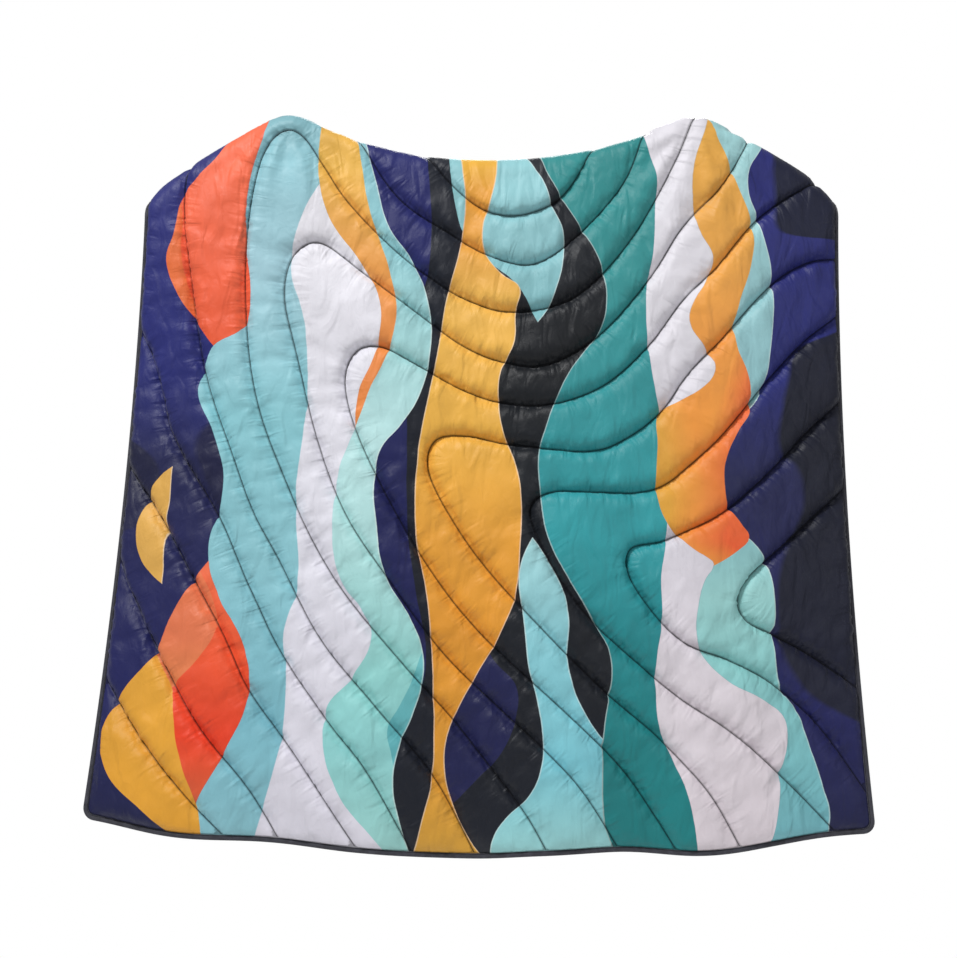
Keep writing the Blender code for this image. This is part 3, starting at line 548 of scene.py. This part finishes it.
# Each band: its left edge, its right edge (None for the panel's own edge), and its colours up
# the panel as (height, hex). Later bands are printed over earlier ones. Several bands, the navy,
# teal and white among them, darken towards the bottom hem: partly the print's own tone, partly
# painted shade for the light falling off down the panel. The aqua and mint bands darken at their
# top ends: painted shade that holds down the lit top of the fold by the left grip.
CHARCOAL, AQUA = "#161a25", "#a0c8d3"
BANDS = [
    (None, None, [(0.0, "#1b1e44"), (0.3, "#20235c"), (0.95, "#22254f"), (1.2, "#262b70"),
                  (1.6, "#2a2e72"), (2.1, "#24286a")]),
    (None, "shade_right", [(0.7, "#1e2045"), (0.95, "#1b1d3a")]),
    ("shade_left", "aqua_left", [(0.8, "#1b1d3a"), (1.1, "#1e2045")]),
    ("mint_right", "amber_left", [(0.0, "#171b2e"), (0.5, "#1d2052"), (1.3, "#1f2358"),
                                  (2.1, "#24286a")]),
    ("dark_left", "amber_left", [(0.0, CHARCOAL), (1.2, CHARCOAL), (2.1, "#20242e")]),
    # The aqua band's last two stops and the mint band's last stop are painted shade over the lit
    # top of the fold.
    ("aqua_left", "mint_right", [(0.0, "#8ac0cb"), (0.3, "#7dbac8"), (0.7, "#8bc3cd"),
                                 (1.1, "#88c4cd"), (1.5, AQUA), (1.8, "#8bbcc6"),
                                 (1.95, "#7dadb6")]),
    ("mint_left", "mint_right", [(0.0, "#9bd0cb"), (0.25, "#8fcfce"), (0.45, "#93d3cf"),
                                 (0.8, "#b0dcdb"), (1.05, "#b9e0e0"), (1.3, "#a0cfd0"),
                                 (1.6, "#8fc5cc"), (1.95, "#7fb2bc")]),
    ("sliver_left", "mint_right", [(0.2, "#5fb0b8"), (0.5, "#6fbcc0")]),
    ("white_left", "mint_left", [(0.0, "#dbd8e3"), (0.8, "#dedde7"), (1.6, "#e3e1e8")]),
    ("mint_left", "gold_right", [(1.0, "#e98a47"), (1.25, "#e98a48"), (1.45, "#e89850"),
                                 (1.62, "#e6a550"), (1.8, "#e2b050"), (2.0, "#dca84a")]),
    ("coral_left", "aqua_left", [(0.0, "#dc9a44"), (0.08, "#d8603a"), (0.25, "#ea4326"),
                                 (0.5, "#ec5c36"), (0.68, "#ee6f4a"), (1.3, "#e85c38"),
                                 (1.6, "#eb6848"), (2.0, "#ea6c4a")]),
    ("coral_left", "peach_in", [(0.3, "#e4884e"), (0.5, "#e47a52"), (0.7, "#ea7a50")]),
    ("coral_left", "mustard_in", [(0.0, "#e2a034"), (0.4, "#e6a63c"), (0.6, "#e4a644")]),
    ("coral_left", "lobe_peach", [(1.3, "#e4713e"), (1.5, "#e2703f"), (1.7, "#e67a4c")]),
    ("moon_left", "moon_right", [(0.6, "#dca954"), (0.9, "#dca954")]),
    ("amber_right", "teal_left", [(0.0, CHARCOAL), (0.5, "#141820"), (1.0, "#181c22"),
                                  (1.3, "#13161b"), (2.0, "#22262e")]),
    ("amber_right", "night_right", [(0.0, "#1c1f4c"), (0.5, "#1c1f4c")]),
    ("leaf_left", "leaf_right", [(1.35, "#7ab2b8"), (1.6, "#8cc0c6"), (2.0, "#92c8ce")]),
    ("amber_left", "amber_right", [(0.0, "#d6a03c"), (0.3, "#e09a34"), (0.55, "#e09632"),
                                   (0.8, "#e6a03a"), (1.1, "#ebb24a"), (1.45, "#ebb656"),
                                   (1.62, "#e8a448"), (1.75, "#e5a040"), (1.85, "#e6b040")]),
    ("reed_left", "reed_right", [(0.0, "#9bd2d2"), (0.22, "#7cc6d3"), (0.5, "#88cad4"),
                                 (0.8, "#a4d6da")]),
    ("teal_left", "teal_right", [(0.0, "#1d7d7f"), (0.3, "#1f8083"), (0.6, "#278a90"),
                                 (0.8, "#349da4"), (1.1, "#35959a"), (1.5, "#378f90"),
                                 (2.0, "#2f8888")]),
    ("teal_right", "pale_right", [(0.0, "#dfd5dc"), (0.4, "#ddd5dc"), (0.8, "#d9d5de"),
                                  (1.4, "#dedbe2"), (2.0, "#dbd8df")]),
    ("pale_right", "sea_right", [(0.0, "#74b4be"), (0.18, "#7cc0c6"), (0.45, "#8ecccb"),
                                 (0.65, "#9bd0ce"), (0.8, "#8cc2c6"), (1.3, "#96c6cc"),
                                 (1.8, "#9fcdd0")]),
    ("pale_right", "orange_right", [(0.7, "#ee9242"), (0.82, "#ee8e40"), (0.9, "#e88c40"),
                                    (1.1, "#f09a42"), (1.3, "#ee9c48"), (1.55, "#e4a24c"),
                                    (2.0, "#e2aa4c")]),
    ("pale_right", "glow_gold", [(0.8, "#dba03a"), (1.2, "#e2a448")]),
    ("glow_red", "orange_right", [(0.72, "#ee5c30"), (0.85, "#ea6a38"), (1.2, "#ee7440")]),
    ("dusk_left", None, [(0.0, "#181b33"), (1.0, "#161929"), (2.0, "#1b1f38")]),
]

print_cloth, tree = new_material("printed_satin_polyester")
uv = node(tree, "UVMap", {"uv_map": "flat"})
place = node(tree, "SeparateXYZ", Vector=uv.outputs[0])
across, height = place.outputs[0], place.outputs[1]
# The edge of each colour bleeds about 1 mm into its neighbour and follows the yarns.
yarn = node(tree, "Mapping", Vector=uv.outputs[0], Scale=(WIDTH * 90, LENGTH * 90, 1))
bleed = node(tree, "TexNoise", {"noise_dimensions": "2D"}, Vector=yarn.outputs[0], Scale=1.0,
             Detail=1.0)
shift = node(tree, "Math", {"operation": "MULTIPLY_ADD"}, n0=bleed.outputs["Fac"], n1=0.0004,
             n2=across)
edge_at = {}
for name, points in EDGES.items():
    curve = node(tree, "FloatCurve", Value=height)
    line = curve.mapping.curves[0].points
    points = ([(0.0, points[0][1])] if points[0][0] > 0 else []) + points
    points = points + ([(LENGTH, points[-1][1])] if points[-1][0] < LENGTH else [])
    for k, (up, side) in enumerate(points):
        spot = (min(up / LENGTH, 1.0), side / WIDTH / 1.2 + 0.5)
        if k in (0, len(points) - 1):
            line[0 if k == 0 else -1].location = spot
        else:
            line.new(*spot)
    curve.mapping.update()
    # signed distance to the edge, in panel widths
    edge = node(tree, "Math", {"operation": "MULTIPLY_ADD"}, n0=curve.outputs[0], n1=-1.2,
                n2=0.1)
    edge_at[name] = node(tree, "Math", {"operation": "ADD"}, n0=edge.outputs[0],
                         n1=shift.outputs[0]).outputs[0]


def right_of(name, flip=False):
    """1 to the right of a printed edge, 0 to its left, over a millimetre; flip swaps them."""
    soft = {"glow": 0.02, "dusk": 0.005, "shad": 0.005}.get(name[:4], 0.0004)
    ends = (soft, -soft) if flip else (-soft, soft)
    return node(tree, "MapRange", None, n0=edge_at[name], n1=ends[0], n2=ends[1]).outputs[0]


colour = None
for left, right, stops in BANDS:
    ramp = node(tree, "ValToRGB", None, Fac=height)
    stops_on = ramp.color_ramp.elements
    while len(stops_on) < len(stops):
        stops_on.new(0.5)
    for stop, (up, text) in zip(stops_on, stops):
        stop.position, stop.color = up / LENGTH, srgb(text)
    if colour is None:
        colour = ramp.outputs[0]
        continue
    shows = [right_of(left)] if left else []
    shows += [right_of(right, True)] if right else []
    here = shows[0] if len(shows) == 1 else node(
        tree, "Math", {"operation": "MULTIPLY"}, n0=shows[0], n1=shows[1]).outputs[0]
    band = ramp.outputs[0]
    for name, sign in ((left, 1), (right, -1)):
        # the darkest inks have no rim of their own
        if name in PALE_RIMS and max(srgb(stops[0][1])[:3]) > 0.15:
            rim = node(tree, "MapRange", None, n0=edge_at[name], n1=sign * 0.0008,
                       n2=sign * 0.0018, n3=0.38, n4=0.0)
            band = node(tree, "Mix", {"data_type": "RGBA"}, n0=rim.outputs[0], n6=band,
                        n7=srgb("#f4f2ec")).outputs[2]
    colour = node(tree, "Mix", {"data_type": "RGBA"}, n0=here, n6=colour, n7=band).outputs[2]

# Slow changes of dye strength, 60 to 200 mm across, and lint-sized flecks.
cloud_at = node(tree, "Mapping", Vector=uv.outputs[0], Scale=(WIDTH * 7, LENGTH * 7, 1))
cloud = node(tree, "TexNoise", {"noise_dimensions": "2D"}, Vector=cloud_at.outputs[0],
             Scale=1.0, Detail=3.0)
strength = node(tree, "MapRange", None, n0=cloud.outputs["Fac"], n1=0.3, n2=0.7, n3=0.93, n4=1.06)
dyed = node(tree, "HueSaturation", None, Value=strength.outputs[0], Color=colour)
# The weave: real yarns are 0.1 mm apart, drawn at 1.4 mm so that their grain shows.
weave_at = node(tree, "Mapping", Vector=uv.outputs[0], Scale=(WIDTH / 0.0014, LENGTH / 0.0014, 1))
weft = node(tree, "TexWave", {"bands_direction": "Y"}, Vector=weave_at.outputs[0], Scale=0.5,
            Distortion=0.6, Detail=1.0)
warp = node(tree, "TexWave", {"bands_direction": "X"}, Vector=weave_at.outputs[0], Scale=0.5,
            Distortion=0.6, Detail=1.0)
weave = node(tree, "Math", {"operation": "MULTIPLY"}, n0=weft.outputs["Fac"],
             n1=warp.outputs["Fac"])
relief, crease, seam = shell_relief(tree, uv.outputs[0])
grain = node(tree, "Bump", None, Strength=0.25, Distance=0.0004, Height=weave.outputs[0],
             Normal=relief)
gloss = node(tree, "MapRange", None, n0=crease, n1=0.3, n2=0.7, n3=0.40, n4=0.54)
# Painted shade: the cloth's colour is darkened to 45 % at each seam, easing back to full within 4
# mm, for the shaded crease along the stitching.
painted_crease_shade = node(tree, "MapRange", {"interpolation_type": "SMOOTHSTEP"}, n0=seam, n1=0.0005,
            n2=0.0042, n3=0.45, n4=1.0)
shaded = node(tree, "HueSaturation", None, Value=painted_crease_shade.outputs[0], Color=dyed.outputs[0])
cloth = node(tree, "BsdfPrincipled", None, Base_Color=shaded.outputs[0],
             Roughness=gloss.outputs[0], Normal=grain.outputs[0], Specular_IOR_Level=0.3,
             Sheen_Weight=0.08, Sheen_Roughness=0.4)
node(tree, "OutputMaterial", None, Surface=cloth.outputs[0])
face_shell.data.materials.append(print_cloth)


# ---- filling and plain back panel ----
# A sheet of polyester fibre between the two shells, and a plain woven polyester back, stitched
# through along the same lines. The filling shows nowhere; the back puffs less than the face.
low_side = hung(flat, -(0.0006 + 0.8 * lift))
high_side = hung(flat, 0.0006 + 0.55 * lift)
mesh_edges = {}
for f in cloth_faces:
    for a, b in zip(f, f[1:] + f[:1]):
        key = (min(a, b), max(a, b))
        mesh_edges[key] = mesh_edges.get(key, 0) + (1 if a < b else -1)
outline = [(a, b) if way > 0 else (b, a) for (a, b), way in mesh_edges.items() if way]
n = len(flat)
batting = made_mesh("batting_fill", np.concatenate([low_side, high_side]),
                    [list(f) for f in cloth_faces] + [[i + n for i in reversed(f)]
                                                      for f in cloth_faces]
                    + [[b, a, a + n, b + n] for a, b in outline])
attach(batting, "root")
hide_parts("batting")
fibre, tree = new_material("polyester_fibre_fill")
spot = node(tree, "TexCoord")
tuft = node(tree, "TexNoise", None, Vector=spot.outputs["Object"], Scale=180.0, Detail=4.0)
fluff = node(tree, "Bump", None, Strength=0.5, Distance=0.003, Height=tuft.outputs["Fac"])
shade = node(tree, "ValToRGB", None, Fac=tuft.outputs["Fac"])
shade.color_ramp.elements[0].color = srgb("#dcdad4")
shade.color_ramp.elements[1].color = srgb("#f2f1ec")
wool = node(tree, "BsdfPrincipled", None, Base_Color=shade.outputs[0], Roughness=0.95,
            Normal=fluff.outputs[0])
node(tree, "OutputMaterial", None, Surface=wool.outputs[0])
batting.data.materials.append(fibre)

back_shell = made_mesh("back_shell_cloth",
                       hung(flat + puff[:, :2], STITCHED_HALF + 0.7 * lift),
                       [list(reversed(f)) for f in cloth_faces], flat_uv)
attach(back_shell, "root")
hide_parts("back_shell")
lining, tree = new_material("plain_satin_polyester")
uv = node(tree, "UVMap", {"uv_map": "flat"})
cloud_at = node(tree, "Mapping", Vector=uv.outputs[0], Scale=(WIDTH * 7, LENGTH * 7, 1))
cloud = node(tree, "TexNoise", {"noise_dimensions": "2D"}, Vector=cloud_at.outputs[0],
             Scale=1.0, Detail=3.0)
shade = node(tree, "ValToRGB", None, Fac=cloud.outputs["Fac"])
shade.color_ramp.elements[0].position, shade.color_ramp.elements[0].color = 0.3, srgb("#23263f")
shade.color_ramp.elements[1].position, shade.color_ramp.elements[1].color = 0.7, srgb("#2b2f4d")
relief, *_ = shell_relief(tree, uv.outputs[0])
cloth = node(tree, "BsdfPrincipled", None, Base_Color=shade.outputs[0], Roughness=0.58,
             Normal=relief, Specular_IOR_Level=0.2, Sheen_Weight=0.08)
node(tree, "OutputMaterial", None, Surface=cloth.outputs[0])
back_shell.data.materials.append(lining)


# ---- quilting stitches ----
# Spun polyester thread in a plain lockstitch about 4 mm long, one run along each quilting
# line. Each stitch is a short bead that sinks into the cloth at both of its ends.
STITCH, THREAD_R = 0.0042, 0.0007
THREAD_SIDES = 5
thread, tree = new_material("spun_polyester_thread")
spot = node(tree, "TexCoord")
twist = node(tree, "TexWave", {"bands_direction": "DIAGONAL"}, Vector=spot.outputs["Object"],
             Scale=220.0, Distortion=1.0)
ply = node(tree, "Bump", None, Strength=0.5, Distance=0.0003, Height=twist.outputs["Fac"])
shade = node(tree, "ValToRGB", None, Fac=twist.outputs["Fac"])
shade.color_ramp.elements[0].color = srgb("#090a12")
shade.color_ramp.elements[1].color = srgb("#161823")
yarns = node(tree, "BsdfPrincipled", None, Base_Color=shade.outputs[0], Roughness=0.7,
             Normal=ply.outputs[0], Specular_IOR_Level=0.2)
node(tree, "OutputMaterial", None, Surface=yarns.outputs[0])


def stitched_line(name, flat_line, lift, side, radius, node_name):
    """A row of lockstitches along a flat line, as one tube pinched between the stitches."""
    along = np.concatenate([[0], np.cumsum(np.linalg.norm(np.diff(flat_line, axis=0), axis=1))])
    at = np.arange(0, along[-1], STITCH / 4)
    line = np.stack([np.interp(at, along, flat_line[:, k]) for k in range(2)], 1)
    phase = np.arange(len(at)) % 4
    rise = np.array([-0.0005, 0.0001, 0.0004, 0.0001])[phase]
    thick = radius * np.array([0.45, 1.0, 1.1, 1.0])[phase]
    lifts = np.interp(at, along, lift) if np.ndim(lift) else np.full(len(at), lift)
    points = hung(line, side * (lifts + rise))
    ahead = np.gradient(points, axis=0)
    ahead /= np.linalg.norm(ahead, axis=1, keepdims=True)
    n = back_normal(line[:, 0], line[:, 1])
    across = np.cross(ahead, n)
    across /= np.linalg.norm(across, axis=1, keepdims=True)
    m = THREAD_SIDES
    ring = [(math.cos(2 * math.pi * j / m), math.sin(2 * math.pi * j / m)) for j in range(m)]
    tube = np.concatenate([[p + r * (c * x + s * y) for c, s in ring]
                           for p, x, y, r in zip(points, across, n, thick)])
    faces = [[k * m + j, k * m + (j + 1) % m, (k + 1) * m + (j + 1) % m, (k + 1) * m + j]
             for k in range(len(points) - 1) for j in range(m)]
    faces += [list(range(m))[::-1], [len(tube) - m + j for j in range(m)]]
    piece = made_mesh(name, tube, faces)
    piece.data.materials.append(thread)
    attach(piece, "root")
    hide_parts(node_name)
    return piece


for name, points in QUILTING.items():
    line = drawn_line(points, 0.004)
    for side, run in ((-1, "needle_thread_"), (1, "bobbin_thread_")):
        stitched_line(run + name + "_stitches", line, STITCHED_HALF + 0.0004, side, THREAD_R,
                      run + name)


# ---- edge binding ----
# A woven polyester tape, about 22 mm wide and folded lengthwise over the cut edges of all the
# layers, then sewn through both of its sides in one pass close to its inner fold.
round_hem = hem_line(0, 0.006)
centre = np.stack([np.clip(round_hem[:, 0], CORNER - HALF, HALF - CORNER),
                   np.clip(round_hem[:, 1], CORNER, LENGTH - CORNER)], 1)
outward = round_hem - centre
outward /= np.linalg.norm(outward, axis=1, keepdims=True)
edge_points = drape(round_hem[:, 0], round_hem[:, 1])
edge_out = edge_points - drape(*(round_hem - outward * 0.011).T)
edge_out /= np.linalg.norm(edge_out, axis=1, keepdims=True)
edge_n = back_normal(round_hem[:, 0], round_hem[:, 1])
edge_n -= edge_out * (edge_n * edge_out).sum(1, keepdims=True)
edge_n /= np.linalg.norm(edge_n, axis=1, keepdims=True)
travel = np.concatenate([[0], np.cumsum(np.linalg.norm(np.diff(edge_points, axis=0), axis=1))])
pucker = (0.00035 * np.sin(travel * 2 * math.pi / 0.031) * np.sin(travel * 2 * math.pi / 0.083)
          + 0.00025 * np.sin(travel * 2 * math.pi / 0.012))
# Section: (out over the hem, towards the back), round the outside of the fold then back inside.
section = [(-0.0112, -0.0019), (-0.0108, -0.0027), (-0.0092, -0.0024), (-0.0076, -0.0031),
           (-0.0030, -0.0034), (0.0004, -0.0028), (0.0017, -0.0014), (0.0021, 0.0),
           (0.0017, 0.0014), (0.0004, 0.0028), (-0.0030, 0.0034), (-0.0076, 0.0031),
           (-0.0092, 0.0024), (-0.0108, 0.0027), (-0.0112, 0.0019), (-0.0020, 0.0019),
           (0.0005, 0.0), (-0.0020, -0.0019)]
m = len(section)
tape_points, tape_uv = [], []
for k in range(len(round_hem)):
    for j, (a, b) in enumerate(section):
        swell = 1 + (pucker[k] / 0.002 if abs(b) > 0.002 and a > -0.009 else 0)
        tape_points.append(edge_points[k] + edge_out[k] * a + edge_n[k] * (b * swell))
count = len(round_hem)
tape = made_mesh("edge_binding_tape", np.array(tape_points),
                 [[k * m + j, k * m + (j + 1) % m, (k + 1) % count * m + (j + 1) % m,
                   (k + 1) % count * m + j] for k in range(count) for j in range(m)])
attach(tape, "root")
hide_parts("edge_binding")
webbing, tree = new_material("woven_polyester_tape")
spot = node(tree, "TexCoord")
# Ribs of the tape's weave, 1.2 mm apart.
rib = node(tree, "TexWave", {"bands_direction": "DIAGONAL"}, Vector=spot.outputs["Object"],
           Scale=130.0, Distortion=0.8, Detail=1.0)
fuzz = node(tree, "TexNoise", None, Vector=spot.outputs["Object"], Scale=60.0, Detail=4.0)
shade = node(tree, "ValToRGB", None, Fac=fuzz.outputs["Fac"])
shade.color_ramp.elements[0].position, shade.color_ramp.elements[0].color = 0.3, srgb("#22222b")
shade.color_ramp.elements[1].position, shade.color_ramp.elements[1].color = 0.75, srgb("#3a3a45")
ribs = node(tree, "Bump", None, Strength=0.5, Distance=0.0006, Height=rib.outputs["Fac"])
woven = node(tree, "BsdfPrincipled", None, Base_Color=shade.outputs[0], Roughness=0.7,
             Normal=ribs.outputs[0], Sheen_Weight=0.3, Sheen_Roughness=0.5)
node(tree, "OutputMaterial", None, Surface=woven.outputs[0])
tape.data.materials.append(webbing)

stitch_line = hem_line(0.0092, 0.004)
stitch_line = np.concatenate([stitch_line, stitch_line[:1]])
for side, name in ((-1, "binding_stitch_face"), (1, "binding_stitch_back")):
    stitched_line(name + "_run", stitch_line, 0.0028, side, 0.0005, name)


# ---- studio ----
# A plain pale floor well under the hem, soft light from the front and above, and a camera
# level with the middle of the blanket.
FLOOR_DROP = 0.9  # below the hem
floor = bpy.data.meshes.new("floor")
floor.from_pydata([(-3, -3, 0), (3, -3, 0), (3, 1.4, 0), (-3, 1.4, 0)], [], [[0, 1, 2, 3]])
floor_piece = bpy.data.objects.new("floor", floor)
floor_piece.location.z = cad_box[0][2] - FLOOR_DROP
bpy.context.scene.collection.objects.link(floor_piece)
pale, tree = new_material("pale_studio_floor")
plain = node(tree, "BsdfPrincipled", None, Base_Color=srgb("#fbfbfb"), Roughness=0.9)
node(tree, "OutputMaterial", None, Surface=plain.outputs[0])
floor.materials.append(pale)

scene = bpy.context.scene
world = bpy.data.worlds.new("studio")
world.use_nodes = True
sky = world.node_tree.nodes["Background"]
sky.inputs[0].default_value = srgb("#ffffff")
seen = node(world.node_tree, "LightPath")
strength = node(world.node_tree, "MapRange", None, n0=seen.outputs["Is Camera Ray"], n3=0.32,
                n4=1.0)
world.node_tree.links.new(strength.outputs[0], sky.inputs[1])
scene.world = world
for name, place, aim, size, power in (
        ("key_softbox", (-2.7, -3.4, 4.6), (0, 0, -0.9), (1.8, 1.4), 390),
        ("fill_softbox", (3.0, -3.4, 0.2), (0, 0, -0.9), (2.0, 2.0), 25),
        ("back_softbox", (0.5, 3.6, 2.0), (0, 0, -0.8), (2.4, 1.8), 90)):
    lamp = bpy.data.lights.new(name, "AREA")
    lamp.shape, lamp.size, lamp.size_y, lamp.energy = "RECTANGLE", size[0], size[1], power
    lit = bpy.data.objects.new(name, lamp)
    lit.location = place
    lit.rotation_euler = (Vector(aim) - Vector(place)).to_track_quat("-Z", "Y").to_euler()
    scene.collection.objects.link(lit)

lens = bpy.data.cameras.new("camera")
lens.lens, lens.sensor_width = 49.4, 36.0
camera = bpy.data.objects.new("camera", lens)
camera.location = (-0.0356, -3.6, -0.939)
camera.rotation_euler = (math.radians(90), 0, 0)
scene.collection.objects.link(camera)
scene.camera = camera
scene.view_settings.view_transform = "Standard"
